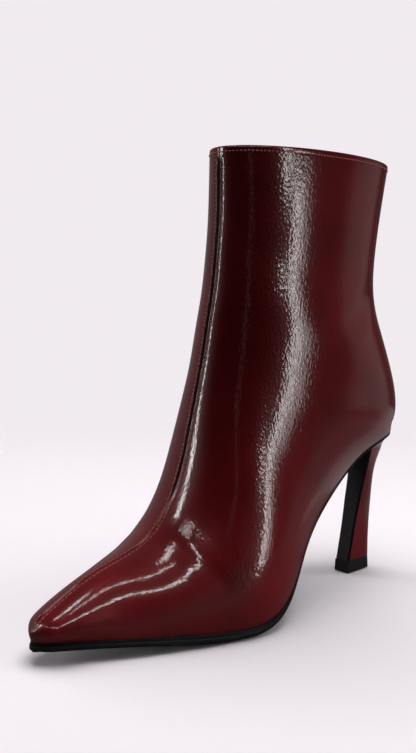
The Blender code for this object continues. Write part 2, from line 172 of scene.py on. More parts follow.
def spline(knots, values, at):
    """Natural cubic spline through each column of values, read at the given places."""
    k = np.asarray(knots, float)
    v = np.asarray(values, float)
    h = np.diff(k)
    n = len(k)
    matrix = np.eye(n)
    right = np.zeros_like(v)
    for i in range(1, n - 1):
        matrix[i, i - 1:i + 2] = h[i - 1], 2 * (h[i - 1] + h[i]), h[i]
        right[i] = 6 * ((v[i + 1] - v[i]) / h[i] - (v[i] - v[i - 1]) / h[i - 1])
    c = np.linalg.solve(matrix, right)
    a = np.clip(np.asarray(at, float), k[0], k[-1])
    i = np.clip(np.searchsorted(k, a, side="right") - 1, 0, n - 2)
    t = (a - k[i])[:, None]
    u = (k[i + 1] - a)[:, None]
    g = h[i][:, None]
    bend = (c[i] * u**3 + c[i + 1] * t**3) / (6 * g)
    return bend + (v[i] / g - c[i] * g / 6) * u + (v[i + 1] / g - c[i + 1] * g / 6) * t


def outline(x):
    """Height of the feather line, middle y and half-width of the last's bottom at each x."""
    x = np.clip(np.asarray(x, float), SEAT_X, TOE_X)
    feather_z, outer, inner = spline(OUTLINE[:, 0], OUTLINE[:, 1:], x).T
    back = np.clip((SEAT_X + SEAT_LEN - x) / SEAT_LEN, 0, 1)
    front = np.clip((x - TOE_X + TIP_LEN) / TIP_LEN, 0, 1)
    ends = np.sqrt((1 - back**SEAT_POWER) * (1 - front**2))
    return feather_z, (outer + inner) / 2, (outer - inner) / 2 * ends


def section_rows(s):
    """Section columns at each station, then the feather's middle, half-widths and start angles."""
    columns = spline(np.arange(len(SECTIONS)), SECTIONS, s)
    base_x, base_z, _, _, _, outer, inner, egg = columns.T
    foot = s < CORNER_ROW
    feather_z, mid, half = outline(base_x)
    columns[:, 1] = np.where(foot, feather_z, base_z)
    half = np.where(foot, half, 0.0)
    mid = np.where(foot, mid, 0.0)
    front = np.clip((base_x - TOE_X + TIP_LEN) / TIP_LEN, 0, 1)
    egg = np.where(np.abs(egg) < 1e-6, 1e-6, egg)
    top = np.arccos((np.sqrt(1 + 8 * egg**2) - 1) / (4 * egg))
    peak = np.sin(top) * (1 + egg * np.cos(top))
    wides = []
    starts = []
    for widest in (outer, inner):
        wide = np.maximum(widest * np.sqrt(1 - front**2), half * 1.01 + 1e-9)
        low = np.zeros_like(s)
        high = top.copy()
        for _ in range(40):
            middle = (low + high) / 2
            under = np.sin(middle) * (1 + egg * np.cos(middle)) / peak < half / wide
            low = np.where(under, middle, low)
            high = np.where(under, high, middle)
        wides.append(wide / peak)
        starts.append(np.where(half > 1e-6, low, 0.0))
    return columns, mid, wides, starts


def eased(s, values_at):
    """Values along the stations, with the turn at the heel seat's back spread over nearby sections."""
    reach = np.linspace(-EASE_REACH, EASE_REACH, 49)
    weight = np.exp(-0.5 * (reach / EASE_WIDTH)**2)
    weight /= weight.sum()
    near = np.clip(s[:, None] + reach[None, :], 0, COLLAR)
    spread = (values_at(near.ravel()).reshape(near.shape) * weight).sum(axis=1)
    share = np.cos(np.clip(np.abs(s - CORNER_ROW) / EASE_SPAN, 0, 1) * np.pi / 2)**2
    own = values_at(s)
    return own + share * (spread - own)


def upper_surface(stations, u):
    """Outside of the upper at places u across each station: 0 outer base, 1 ridge, 2 inner base."""
    s = np.asarray(stations, float)
    columns, mid, wides, starts = section_rows(s)
    base_x, base_z, ridge_x, ridge_z, ridge_y, _, _, egg = (column[:, None] for column in columns.T)
    body_z = eased(s, lambda at: section_rows(at)[0][:, 1])[:, None]
    on_outer = u <= 1
    t = np.where(on_outer, u, 2 - u)
    grid = np.zeros(u.shape + (3,))
    for k, side in enumerate((1, -1)):
        start = starts[k][:, None]
        body_cos = eased(s, lambda at: np.cos(section_rows(at)[3][k]))[:, None]
        angle = start + (np.pi - start) * t
        rise = (body_cos - np.cos(angle)) / (body_cos + 1)
        first = (body_cos - np.cos(start)) / (body_cos + 1)
        settle = ((1 + np.cos(angle)) / (1 + np.cos(start)))**EDGE_BLEND
        x = base_x + (ridge_x - base_x) * (rise - first * settle)
        z = body_z + (ridge_z - body_z) * rise
        z = z + (base_z - body_z - (ridge_z - body_z) * first) * settle
        share = (np.cos(start) - np.cos(angle)) / (np.cos(start) + 1)
        across = side * wides[k][:, None] * np.sin(angle) * (1 + egg * np.cos(angle))
        y = mid[:, None] + (ridge_y - mid[:, None]) * share + across
        chosen = on_outer if side > 0 else ~on_outer
        grid[chosen] = np.stack([x, y, z], axis=-1)[chosen]
    return grid


def grid_normals(grid, stations):
    """Outward normals of the upper's grid, shared where it meets itself at the toe and up the back."""
    rows, cols = grid.shape[:2]
    ids = np.arange(rows * cols).reshape(rows, cols)
    ids[0] = np.minimum(ids[0], ids[0, ::-1])
    ring = stations >= CORNER_ROW
    ids[ring, -1] = ids[ring, 0]
    face = np.cross(grid[1:, 1:] - grid[:-1, :-1], grid[:-1, 1:] - grid[1:, :-1])
    total = np.zeros((rows * cols, 3))
    for corner in (ids[:-1, :-1], ids[1:, :-1], ids[1:, 1:], ids[:-1, 1:]):
        np.add.at(total, corner.ravel(), face.reshape(-1, 3))
    normal = total[ids]
    normal /= np.maximum(np.linalg.norm(normal, axis=2, keepdims=True), 1e-9)
    widest = np.argmax(grid[..., 1])
    return normal if normal.reshape(-1, 3)[widest][1] > 0 else -normal


def fine_stations():
    """Stations of the fine upper, closer together at the toe, the heel seat's back and the collar."""
    toe = 3 * np.linspace(0, 1, 37)**2
    foot = np.linspace(3, CORNER_ROW - 1, 66)[1:]
    seat = CORNER_ROW - np.linspace(1, 0, 26)[1:]**2
    shaft = np.linspace(CORNER_ROW, SLOT_END, 56)[1:]
    rim = np.linspace(SLOT_END, COLLAR, 22)[1:]
    return np.concatenate([toe, foot, seat, shaft, rim])


def seam_scale(stations):
    """Step across each section that moves one millimetre away from the front seam."""
    near = upper_surface(stations, np.tile([1 - SEAM_SHARE, 1.0], (len(stations), 1)))
    length = np.linalg.norm(near[:, 0] - near[:, 1], axis=1)
    return SEAM_SHARE / np.maximum(length, 1e-4)


def fine_columns(stations, side_count):
    """Places across each section: even ones on the sides and close ones beside the front seam."""
    per_mm = np.minimum(seam_scale(stations), SEAM_MOST)[:, None]
    seam = 1 - per_mm * np.array(SEAM_STEPS[::-1])[None, :]
    share = np.linspace(0, 1, side_count)[None, :-1]
    side = share * seam[:, :1]
    outer = np.concatenate([side, seam], axis=1)
    return np.concatenate([outer, 2 - outer[:, -2::-1]], axis=1)


def rim_length(u):
    """Millimetres of leather that one station takes just under the collar's edge, at places across it."""
    rows = upper_surface(np.array([COLLAR - RIM_STEP, COLLAR]), np.tile(u, (2, 1)))
    return np.linalg.norm(rows[1] - rows[0], axis=1) / RIM_STEP


def metres(points):
    """Layout millimetres to the shared frame's metres."""
    return (np.asarray(points, float) - MIDDLE) * 0.001


def make_piece(name, points, faces, materials, face_material=None, weld=WELD):
    """Mesh object from layout millimetres that rides on the boot."""
    mesh = bpy.data.meshes.new(name)
    mesh.from_pydata(metres(points).tolist(), [], faces)
    for material in materials:
        mesh.materials.append(material)
    if face_material is not None:
        mesh.polygons.foreach_set("material_index", face_material)
    shape = bmesh.new()
    shape.from_mesh(mesh)
    bmesh.ops.remove_doubles(shape, verts=shape.verts, dist=weld * 0.001)
    bmesh.ops.recalc_face_normals(shape, faces=shape.faces)
    shape.to_mesh(mesh)
    shape.free()
    mesh.shade_smooth()
    made = bpy.data.objects.new(name, mesh)
    bpy.context.scene.collection.objects.link(made)
    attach(made, "root")
    return made


def rungs(count, shift):
    """Faces across one ring, between each point and the one opposite it."""
    faces = []
    for i in range(count // 2):
        corners = tuple(dict.fromkeys((i, i + 1, (shift - i - 1) % count, (shift - i) % count)))
        if len(corners) > 2:
            faces.append(corners)
    return faces


def stacked_rings(rings, caps):
    """Points and faces of a solid through rings of equal length, with the faces in caps at both ends."""
    levels, count = len(rings), len(rings[0])
    points = np.concatenate(rings)
    faces = []
    for level in range(levels - 1):
        for i in range(count):
            j = (i + 1) % count
            low = level * count
            faces.append((low + i, low + j, low + count + j, low + count + i))
    for start in (0, (levels - 1) * count):
        faces.extend(tuple(start + k for k in cap) for cap in caps)
    return points, faces


def plan_x(count):
    """Places along the boot from heel to toe, closer together at both ends."""
    angle = np.linspace(0, np.pi, count)
    return SEAT_X + (TOE_X - SEAT_X) * (1 - np.cos(angle)) / 2


def plan_ring(x, offset):
    """Closed outline of the last's bottom, moved outward: heel, outer side, toe, inner side."""
    _, mid, half = outline(x)
    outer = np.stack([x, mid + half], axis=1)
    inner = np.stack([x, mid - half], axis=1)[1:-1][::-1]
    ring = np.concatenate([outer, inner])
    along = np.roll(ring, -1, axis=0) - np.roll(ring, 1, axis=0)
    normal = np.stack([-along[:, 1], along[:, 0]], axis=1)
    normal /= np.linalg.norm(normal, axis=1, keepdims=True)
    moved = np.concatenate([offset, offset[1:-1][::-1]])[:, None]
    return ring + normal * moved


def sole_heights(x):
    """Heights of the outsole at x: its top, the bottom of its edge, and the middle of its underside."""
    feather_z, _, _ = outline(x)
    edge_t = spline(SOLE[:, 0], SOLE[:, 1:], np.clip(x, SEAT_X, TOE_X))[:, 0]
    top = feather_z - GAP
    crown = CROWN * np.clip((np.asarray(x) - CROWN_START) / CROWN_LEN, 0, 1)
    middle = np.maximum(top - edge_t - crown, 0.0)
    return top, middle + crown, middle


def node_input(nodes, kind, **values):
    """New shader node with the given input values."""
    made = nodes.new(kind)
    for key, value in values.items():
        made.inputs[key.replace("_", " ")].default_value = value
    return made


def new_material(name):
    """Empty Principled material: its node tree and shader."""
    made = bpy.data.materials.new(name)
    made.use_nodes = True
    return made, made.node_tree, made.node_tree.nodes["Principled BSDF"]


def colour_ramp(tree, low, high, start=0.35, end=0.65):
    """Ramp between two colours."""
    ramp = tree.nodes.new("ShaderNodeValToRGB")
    ramp.color_ramp.elements[0].position = start
    ramp.color_ramp.elements[1].position = end
    ramp.color_ramp.elements[0].color = (*low, 1)
    ramp.color_ramp.elements[1].color = (*high, 1)
    return ramp


def math_node(tree, operation, *sources):
    """Result of a math node that is fed by the given outputs."""
    made = tree.nodes.new("ShaderNodeMath")
    made.operation = operation
    for k, source in enumerate(sources):
        tree.links.new(source, made.inputs[k])
    return made.outputs["Value"]


def leather_material():
    """Glossy burgundy leather: fine upright grain, shallower in front, under a hard polished coat."""
    made, tree, shader = new_material("burgundy_leather")
    nodes, link = tree.nodes, tree.links.new
    place = nodes.new("ShaderNodeTexCoord")
    stretch = nodes.new("ShaderNodeMapping")
    stretch.inputs["Scale"].default_value = (1.0, 1.0, 0.62)
    link(place.outputs["Object"], stretch.inputs["Vector"])
    cloud = node_input(nodes, "ShaderNodeTexNoise", Scale=38.0, Detail=3.0)
    link(place.outputs["Object"], cloud.inputs["Vector"])
    ramp = colour_ramp(tree, (0.092, 0.0018, 0.0034), (0.120, 0.0028, 0.0050))
    link(cloud.outputs["Fac"], ramp.inputs["Fac"])
    link(ramp.outputs["Color"], shader.inputs["Base Color"])
    grain = node_input(nodes, "ShaderNodeTexNoise", Scale=860.0, Detail=1.0, Roughness=0.45)
    link(stretch.outputs["Vector"], grain.inputs["Vector"])
    pebble = node_input(nodes, "ShaderNodeTexNoise", Scale=260.0, Detail=2.0)
    link(place.outputs["Object"], pebble.inputs["Vector"])
    soft = node_input(nodes, "ShaderNodeBump", Strength=0.05, Distance=0.0006)
    link(pebble.outputs["Fac"], soft.inputs["Height"])
    axes = nodes.new("ShaderNodeSeparateXYZ")
    link(place.outputs["Object"], axes.inputs["Vector"])
    sideways = math_node(tree, "ABSOLUTE", axes.outputs["Y"])
    forward = math_node(tree, "SUBTRACT", axes.outputs["X"], sideways)
    shallower = node_input(nodes, "ShaderNodeMapRange",
                           From_Min=-0.02, From_Max=0.02, To_Min=1.0, To_Max=0.5)
    link(forward, shallower.inputs["Value"])
    depth = math_node(tree, "MULTIPLY", grain.outputs["Fac"], shallower.outputs["Result"])
    bump = node_input(nodes, "ShaderNodeBump", Strength=0.30, Distance=0.00036)
    link(depth, bump.inputs["Height"])
    link(soft.outputs["Normal"], bump.inputs["Normal"])
    link(bump.outputs["Normal"], shader.inputs["Normal"])
    link(bump.outputs["Normal"], shader.inputs["Coat Normal"])
    shader.inputs["Roughness"].default_value = 0.30
    shader.inputs["Specular IOR Level"].default_value = 0.12
    shader.inputs["Coat Weight"].default_value = 0.9
    shader.inputs["Coat Roughness"].default_value = 0.085
    shader.inputs["Coat IOR"].default_value = 1.5
    return made


def plain_material(name, low, high, roughness, scale, bump_strength, bump_distance, specular=0.5):
    """Plain material with a slight change of colour and a fine bump."""
    made, tree, shader = new_material(name)
    nodes, link = tree.nodes, tree.links.new
    place = nodes.new("ShaderNodeTexCoord")
    cloud = node_input(nodes, "ShaderNodeTexNoise", Scale=scale, Detail=4.0)
    link(place.outputs["Object"], cloud.inputs["Vector"])
    ramp = colour_ramp(tree, low, high)
    link(cloud.outputs["Fac"], ramp.inputs["Fac"])
    link(ramp.outputs["Color"], shader.inputs["Base Color"])
    bump = node_input(nodes, "ShaderNodeBump", Strength=bump_strength, Distance=bump_distance)
    link(cloud.outputs["Fac"], bump.inputs["Height"])
    link(bump.outputs["Normal"], shader.inputs["Normal"])
    shader.inputs["Roughness"].default_value = roughness
    shader.inputs["Specular IOR Level"].default_value = specular
    return made


leather = leather_material()
lining = plain_material("lining_leather", (0.030, 0.024, 0.022), (0.045, 0.037, 0.034),
                        roughness=0.55, scale=420.0, bump_strength=0.25, bump_distance=0.0003)
sole_black = plain_material("sole_black", (0.006, 0.006, 0.007), (0.009, 0.009, 0.010),
                            roughness=0.42, scale=300.0, bump_strength=0.12, bump_distance=0.0002,
                            specular=0.12)
tread_black = plain_material("tread_black", (0.010, 0.010, 0.011), (0.014, 0.014, 0.015),
                             roughness=0.55, scale=500.0, bump_strength=0.35, bump_distance=0.0003,
                             specular=0.15)
insole_sock = plain_material("insole_sock", (0.040, 0.032, 0.030), (0.060, 0.050, 0.046),
                             roughness=0.6, scale=350.0, bump_strength=0.2, bump_distance=0.0003)
zip_black = plain_material("zip_black", (0.004, 0.004, 0.004), (0.010, 0.010, 0.011),
                           roughness=0.45, scale=2500.0, bump_strength=0.5, bump_distance=0.0003)
thread = plain_material("stitch_thread", (0.30, 0.075, 0.072), (0.44, 0.130, 0.122),
                        roughness=0.42, scale=3000.0, bump_strength=0.3, bump_distance=0.0002)


def hump(distance, middle, width):
    """Smooth hump of height 1 around the middle."""
    return np.exp(-((distance - middle) / width)**2)


def seam_relief(distance, stations):
    """How far the leather rises or sinks beside the front seam, in millimetres."""
    d = np.abs(distance)
    deepening = np.clip((stations - SLOT_START) / SLOT_RUN_IN, 0, 1)
    closing = np.clip((SLOT_END - stations) / SLOT_RUN_OUT, 0, 1)
    zipped = deepening * closing
    # The slot, the rise of its folded edges and the dent along its stitching
    groove = np.exp(-(d / SLOT_HALF)**4)
    along_zip = -SLOT_DEPTH * groove + 0.24 * hump(d, 1.4, 0.6) - 0.14 * hump(d, ZIP_STITCH, 0.4)
    # The closed seam, the leather puffed up beside it and the dent along its stitching
    along_vamp = -0.30 * hump(d, 0.0, 0.38) + 0.12 * hump(d, 0.9, 0.5) - 0.08 * hump(d, SEAM_STITCH, 0.4)
    flatter_above = np.where(stations > SLOT_END, 0.4, 1.0)
    return zipped * along_zip + (1 - zipped) * along_vamp * flatter_above


# Soft creases over the vamp and behind the ankle, placed one by one in the boot's layout
CREASES = (
    # x, y, z of the middle, direction along the crease, half length, half width, depth
    ((158.0, 22.0, 40.0), (-0.25, 0.75, -0.6), 17.0, 4.0, -0.45),
    ((165.0, 18.0, 36.0), (-0.2, 0.8, -0.55), 14.0, 3.5, -0.35),
    ((47.0, 31.0, 159.0), (-0.83, -0.28, 0.49), 17.0, 6.0, -0.90),
    ((158.0, -28.0, 38.0), (-0.25, -0.75, -0.6), 17.0, 4.0, -0.45),
)


def crease_relief(points):
    """Height of the soft creases at each point, in millimetres."""
    relief = np.zeros(points.shape[:-1])
    for middle, direction, half_length, half_width, depth in CREASES:
        axis = np.array(direction) / np.linalg.norm(direction)
        rel = points - np.array(middle)
        along = rel @ axis
        off = np.linalg.norm(rel - along[..., None] * axis, axis=-1)
        dip = hump(off, 0.0, half_width)
        swell = hump(off, 1.8 * half_width, half_width)
        relief += depth * hump(along, 0.0, half_length) * (dip - 0.45 * swell)
    return relief


def sheet(grid):
    """Points and faces of a grid."""
    rows, cols = grid.shape[:2]
    ids = np.arange(rows * cols).reshape(rows, cols)
    quads = np.stack([ids[:-1, :-1], ids[:-1, 1:], ids[1:, 1:], ids[1:, :-1]], axis=-1).reshape(-1, 4)
    return grid.reshape(-1, 3), quads.tolist()


def make_upper():
    """Leather skin with its rolled collar edge, and the lining inside it."""
    stations = fine_stations()
    u = fine_columns(stations, 56)
    skin = upper_surface(stations, u)
    normal = grid_normals(skin, stations)
    cols = skin.shape[1]
    centre = cols // 2
    steps = np.array(SEAM_STEPS)
    distance = np.full(cols, FAR)
    distance[centre - len(steps) + 1:centre + 1] = steps[::-1]
    distance[centre:centre + len(steps)] = steps
    relief = seam_relief(distance[None, :], stations[:, None]) * np.clip(stations / 0.5, 0, 1)[:, None]
    relief = relief + crease_relief(skin)
    from_rim = (COLLAR - stations)[:, None] * rim_length(u[-1])[None, :]
    relief = relief - 0.07 * hump(from_rim, RIM_STITCH, 0.45)
    leather_face = skin + relief[..., None] * normal
    # The wall is thinner at the toe's tip
    wall = WALL * np.clip(0.7 + 0.3 * stations, 0, 1)[:, None, None]
    inside = skin - wall * normal
    foot = stations < CORNER_ROW
    for edge in (0, -1):
        flat = inside[foot, edge]
        flat[:, 2] = outline(flat[:, 0])[0]
        inside[foot, edge] = flat
    turn = np.linspace(0, np.pi, 7)[1:-1]
    rim_mid = (leather_face[-1] + inside[-1]) / 2
    rim_half = (leather_face[-1] - inside[-1]) / 2
    up = np.array([0.0, 0.0, 1.0]) * np.linalg.norm(rim_half, axis=1)[:, None]
    roll = np.array([rim_mid + np.cos(a) * rim_half + np.sin(a) * up for a in turn])
    outer_grid = np.concatenate([leather_face, roll[:3]])
    inner_grid = np.concatenate([roll[2:], inside[::-1]])
    points, faces = sheet(outer_grid)
    kinds = np.zeros((len(outer_grid) - 1, cols - 1), int)
    zip_rows = np.nonzero((stations[:-1] > SLOT_START + 0.1) & (stations[1:] <= SLOT_END))[0]
    for column in range(centre - 3, centre + 3):
        kinds[zip_rows, column] = 1
    shown = make_piece("upper_leather", points, faces, [leather, zip_black], kinds.ravel())
    inner_points, inner_faces = sheet(inner_grid)
    make_piece("upper_lining", inner_points, inner_faces, [lining])
    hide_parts("upper")


def capsule(half_length, radius, turns=8):
    """Points and faces of one stitch lying along x."""
    profile = ((-1.0, 0.25), (-0.8, 0.8), (-0.3, 1.0), (0.3, 1.0), (0.8, 0.8), (1.0, 0.25))
    points = []
    faces = []
    for share, wide in profile:
        for k in range(turns):
            angle = 2 * math.pi * k / turns
            y = wide * radius * math.cos(angle)
            z = wide * radius * math.sin(angle)
            points.append((share * half_length, y, z))
    for ring in range(len(profile) - 1):
        for k in range(turns):
            n = (k + 1) % turns
            low = ring * turns
            faces.append((low + k, low + n, low + turns + n, low + turns + k))
    faces.append(tuple(range(turns))[::-1])
    faces.append(tuple((len(profile) - 1) * turns + k for k in range(turns)))
    return np.array(points), faces


def stitch_run(path, normals, pitch, stitch_length, radius):
    """Points and faces of stitches laid along a path on the leather."""
    steps = np.linalg.norm(np.diff(path, axis=0), axis=1)
    reach = np.concatenate([[0], np.cumsum(steps)])
    places = np.arange(pitch / 2, reach[-1], pitch)
    shape, faces = capsule(stitch_length / 2, radius)
    # Millimetres ahead and behind that set a stitch's direction
    near = 0.4
    points = []
    every = []
    for place in places:
        at = np.array([np.interp(place, reach, path[:, k]) for k in range(3)])
        ahead = np.array([np.interp(place + near, reach, path[:, k]) for k in range(3)])
        behind = np.array([np.interp(place - near, reach, path[:, k]) for k in range(3)])
        up = np.array([np.interp(place, reach, normals[:, k]) for k in range(3)])
        along = ahead - behind
        along /= np.linalg.norm(along) + 1e-9
        side = np.cross(up, along)
        side /= np.linalg.norm(side) + 1e-9
        up = np.cross(along, side)
        first = len(points) * len(shape)
        points.append(at + shape[:, :1] * along + shape[:, 1:2] * side + shape[:, 2:3] * up)
        every.extend(tuple(first + k for k in face) for face in faces)
    return np.concatenate(points), every


def add_runs(name, runs):
    """One piece from several runs of stitches."""
    points = []
    faces = []
    for run_points, run_faces in runs:
        first = sum(len(p) for p in points)
        points.append(run_points)
        faces.extend(tuple(first + k for k in face) for face in run_faces)
    make_piece(name, np.concatenate(points), faces, [thread], weld=FINE_WELD)


def surface_path(stations, millimetres):
    """Path on the upper beside the front seam, with its normals."""
    u = 1 + seam_scale(stations) * millimetres
    here = upper_surface(stations, np.stack([u, u + 0.8 * SEAM_SHARE], axis=1))
    along = np.gradient(here[:, 0], axis=0)
    normal = np.cross(here[:, 1] - here[:, 0], along)
    normal /= np.linalg.norm(normal, axis=1, keepdims=True) + 1e-9
    # Outward is forward and up all along the seam
    normal *= np.sign(normal[:, :1] * 0.7 + normal[:, 2:3])
    return here[:, 0], normal


def rim_path(around, below):
    """Path round the shaft at an even distance below the collar's edge."""
    stations = COLLAR - below / rim_length(around)
    return upper_surface(stations, around[:, None])[:, 0]


def make_stitches():
    """Rows of topstitching beside the front seam and under the collar's edge."""
    runs = []
    # The rows start and end a little inside the slot and the vamp's seam, in sections
    for side in (-1, 1):
        path, normal = surface_path(np.linspace(SLOT_START + 0.3, COLLAR - 0.11, 400), ZIP_STITCH * side)
        runs.append(stitch_run(path - 0.02 * normal, normal, pitch=2.2, stitch_length=1.6, radius=0.32))
        path, normal = surface_path(np.linspace(0.9, SLOT_START + 0.22, 400), SEAM_STITCH * side)
        runs.append(stitch_run(path - 0.08 * normal, normal, pitch=2.4, stitch_length=1.8, radius=0.22))
    around = np.linspace(0.0, 2.0, 361)
    ring = rim_path(around, RIM_STITCH)
    above = rim_path(around, RIM_STITCH - 0.5)
    out = np.cross(np.gradient(ring, axis=0), above - ring)
    out /= np.linalg.norm(out, axis=1, keepdims=True)
    out *= np.sign(np.sum(out * (ring - ring.mean(axis=0)), axis=1, keepdims=True))
    runs.append(stitch_run(ring + 0.02 * out, out, pitch=2.0, stitch_length=1.35, radius=0.34))
    add_runs("topstitching", runs)


def make_zip():
    """Closed coil of the concealed zip: fine teeth standing in the bottom of the slot."""
    path, normal = surface_path(np.linspace(SLOT_START + 0.15, SLOT_END - 0.02, 500), 0.0)
    points, faces = stitch_run(path - 1.1 * normal, normal, pitch=1.0, stitch_length=0.8, radius=0.42)
    shown = make_piece("zip_coil", points, faces, [zip_black], weld=FINE_WELD)
    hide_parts("front_zip")


def make_sole():
    """Black outsole with its rand, groove and crowned underside."""
    x = plan_x(150)
    stand_out = spline(SOLE[:, 0], SOLE[:, 1:], x)[:, 1]
    half = outline(x)[2]
    # The rand stands out half as far as the edge below it, and lies as far in at the waist
    rand_out = np.minimum(stand_out, 0.5 * stand_out)
    below = 1 - RAND_SHARE
    rings = []
    # From the top: how far out in millimetres, share of the edge's height, share of the crown
    for offset, edge_share, crown_share in (
        (rand_out - 0.15, 1.0, 0.0),
        (rand_out, 0.94, 0.0),
        (rand_out, below + 0.12, 0.0),
        (rand_out - 0.1, below + 0.04, 0.0),
        (rand_out - 0.25, below, 0.0),
        (stand_out - 0.12, below - 0.04, 0.0),
        (stand_out, below - 0.12, 0.0),
        (stand_out, 0.12, 0.0),
        (stand_out - 0.12, 0.04, 0.0),
        (stand_out - 0.5, 0.0, 0.02),
        (stand_out - 4.0, 0.0, 0.65),
        (stand_out - 9.0, 0.0, 1.0),
    ):
        ring = plan_ring(x, np.maximum(offset, -0.6 * half))
        top, edge_bottom, middle = sole_heights(ring[:, 0])
        height = edge_bottom + edge_share * (top - edge_bottom) + crown_share * (middle - edge_bottom)
        rings.append(np.column_stack([ring, height]))
    points, faces = stacked_rings(rings, rungs(len(rings[0]), 0))
    shown = make_piece("outsole_black", points, faces, [sole_black])
    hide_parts("outsole")


def make_insole():
    """Inside sock with its soft edge."""
    x = plan_x(120)
    _, mid, half = outline(x)
    lean = np.sqrt(1 + np.gradient(half, x)**2)
    inset = WALL + 3 * GAP
    narrowing = 0.6
    kept = half - (inset + narrowing) * lean > 0.5
    place = np.concatenate([x[kept], x[kept][::-1]])
    rings = []
    soft_edge = (
        (inset, GAP / 2),
        (inset, INSOLE_T - 0.5),
        (inset + 0.25, INSOLE_T - 0.1),
        (inset + narrowing, INSOLE_T),
    )
    for inward, lift in soft_edge:
        reach = half - inward * lean
        side = np.concatenate([(mid + reach)[kept], (mid - reach)[kept][::-1]])
        rings.append(np.column_stack([place, side, outline(place)[0] + lift]))
    points, faces = stacked_rings(rings, rungs(len(place), len(place) - 1))
    shown = make_piece("insole_sock", points, faces, [insole_sock])
    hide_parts("insole")


def heel_ring(front_x, depth, half_width, square, middle_y, count):
    """Flat-fronted ring of the heel: starts and ends at the two corners of its front face."""
    angle = np.linspace(0, np.pi, count)
    wide = np.sign(np.cos(angle)) * np.abs(np.cos(angle))**(2 / square)
    deep = np.abs(np.sin(angle))**(2 / square)
    return np.stack([front_x - depth * deep, middle_y + half_width * wide], axis=1)


def heel_level(z):
    """Front face x, depth, half-width, squareness and middle y of the heel at each height."""
    rows = spline(HEEL[:, 0], HEEL[:, 1:], z)
    middle_y = HEEL_Y * np.clip(1 - (z - HEEL[0, 0]) / (HEEL[-1, 0] - HEEL[0, 0]), 0, 1)
    return np.column_stack([rows, middle_y])


def make_heel():
    """Leather-covered heel up to the sole under the heel seat."""
    count = HEEL_POINTS
    angle = np.linspace(0, np.pi, count)
    levels = np.linspace(HEEL[0, 0], HEEL[-1, 0], 60)
    rings = []
    for z, row in zip(levels, heel_level(levels)):
        rings.append(np.column_stack([heel_ring(*row, count), np.full(count, z)]))
    x = SEAT_FRONT_X - (SEAT_FRONT_X - SEAT_X - SEAT_INSET) * np.sin(angle)
    _, mid, half = outline(x)
    side = mid + np.sign(np.cos(angle)) * np.maximum(half - SEAT_INSET, 0)
    top = np.column_stack([x, side, sole_heights(x)[2] - GAP])
    # The neck keeps narrow at first and then widens to the seat
    neck = rings[-1]
    for share in np.linspace(0, 1, 12)[1:]:
        rings.append(neck + (top - neck) * np.array([share**NECK_POWER, share**NECK_POWER, share]))
    points, faces = stacked_rings(rings, rungs(count, count - 1))
    shown = make_piece("heel_leather", points, faces, [leather])
    shown.data.set_sharp_from_angle(angle=HEEL_SHARP)
    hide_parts("heel")


def make_heel_breast():
    """Black cover on the heel's front face."""
    rings = []
    levels = np.linspace(HEEL[0, 0], HEEL[-1, 0], 50)
    for z, (front_x, _, half_width, _, middle_y) in zip(levels, heel_level(levels)):
        near = front_x + GAP
        reach = half_width - COVER_EDGE
        face = near + COVER_T
        rounding = near + 0.6 * COVER_T
        section = ((near, -reach), (near, reach), (rounding, reach), (face, reach - COVER_EDGE),
                   (face, 0.0), (face, COVER_EDGE - reach), (rounding, -reach))
        rings.append(np.array([(a, middle_y + b, z) for a, b in section]))
    points, faces = stacked_rings(rings, [(0, 1, 2, 3, 4, 5, 6)])
    shown = make_piece("heel_breast_black", points, faces, [sole_black])
    shown.data.set_sharp_from_angle(angle=EDGE_SHARP)
    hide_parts("heel_breast_cover")


def make_top_piece():
    """Black lift under the heel, slightly flared and rounded at its edges."""
    count = HEEL_POINTS
    front_x, depth, half_width, square, middle_y = heel_level(HEEL[:1, 0])[0]
    rings = []
    # From the top: height and how far the side stands out, in millimetres
    profile = (
        (LIFT_T, -0.25),
        (LIFT_T - 0.25, 0.0),
        (4.0, LIFT_FLARE / 2),
        (0.8, LIFT_FLARE),
        (0.25, 0.2),
        (0.0, -0.2),
    )
    for z, grow in profile:
        ring = heel_ring(front_x + GAP + COVER_T + grow, depth + GAP + COVER_T + 2 * grow,
                         half_width + grow, square, middle_y, count)
        rings.append(np.column_stack([ring, np.full(count, z)]))
    points, faces = stacked_rings(rings, rungs(count, count - 1))
    shown = make_piece("top_piece_black", points, faces, [tread_black])
    shown.data.set_sharp_from_angle(angle=EDGE_SHARP)
    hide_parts("top_piece")


def make_camera():
    """Camera at the photo's place."""
    forward = Vector((-math.sin(CAMERA_YAW) * math.cos(CAMERA_PITCH),
                      -math.cos(CAMERA_YAW) * math.cos(CAMERA_PITCH), -math.sin(CAMERA_PITCH)))
    right = Vector((-math.cos(CAMERA_YAW), math.sin(CAMERA_YAW), 0.0))
    up = right.cross(forward)
    turn = Matrix((right, up, -forward)).transposed().to_4x4()
    data = bpy.data.cameras.new("photo_camera")
    data.sensor_width = SENSOR_MM
    data.lens = FOCAL_PX * SENSOR_MM / PHOTO_HEIGHT
    data.clip_start = 0.01
    made = bpy.data.objects.new("photo_camera", data)
    made.matrix_world = Matrix.Translation(Vector(metres(CAMERA_AT))) @ turn
    bpy.context.scene.collection.objects.link(made)
    bpy.context.scene.camera = made


LIGHT_AIM = (0.0, 0.0, 0.12)
LIGHT_TINT = (1.0, 0.97, 0.97)


